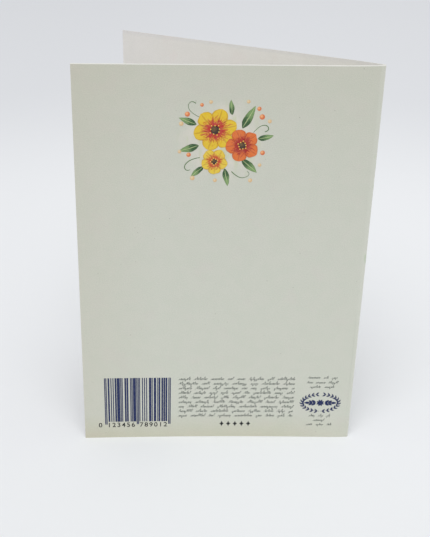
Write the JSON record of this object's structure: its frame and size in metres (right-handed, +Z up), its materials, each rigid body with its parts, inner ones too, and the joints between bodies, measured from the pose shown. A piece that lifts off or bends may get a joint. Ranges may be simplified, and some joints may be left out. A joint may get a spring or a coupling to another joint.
{
  "type": "greeting card",
  "caption": "Folded greeting card that stands upright with its covers partly open: one creased sheet of board, its back cover tinted and printed.",
  "frame": {"origin": "middle of the standing card's box, on the plane that its lower edges stand on", "axes": "+Z up along the fold, +X towards the fold, -Y the way the printed back cover faces; the front cover lies behind it, towards +Y"},
  "size_m": [0.1048, 0.0566, 0.148],
  "materials": {
    "printed_board": "matte"
  },
  "bodies": {
    "root": {"folded_card": "printed_board"}
  },
  "joints": []
}
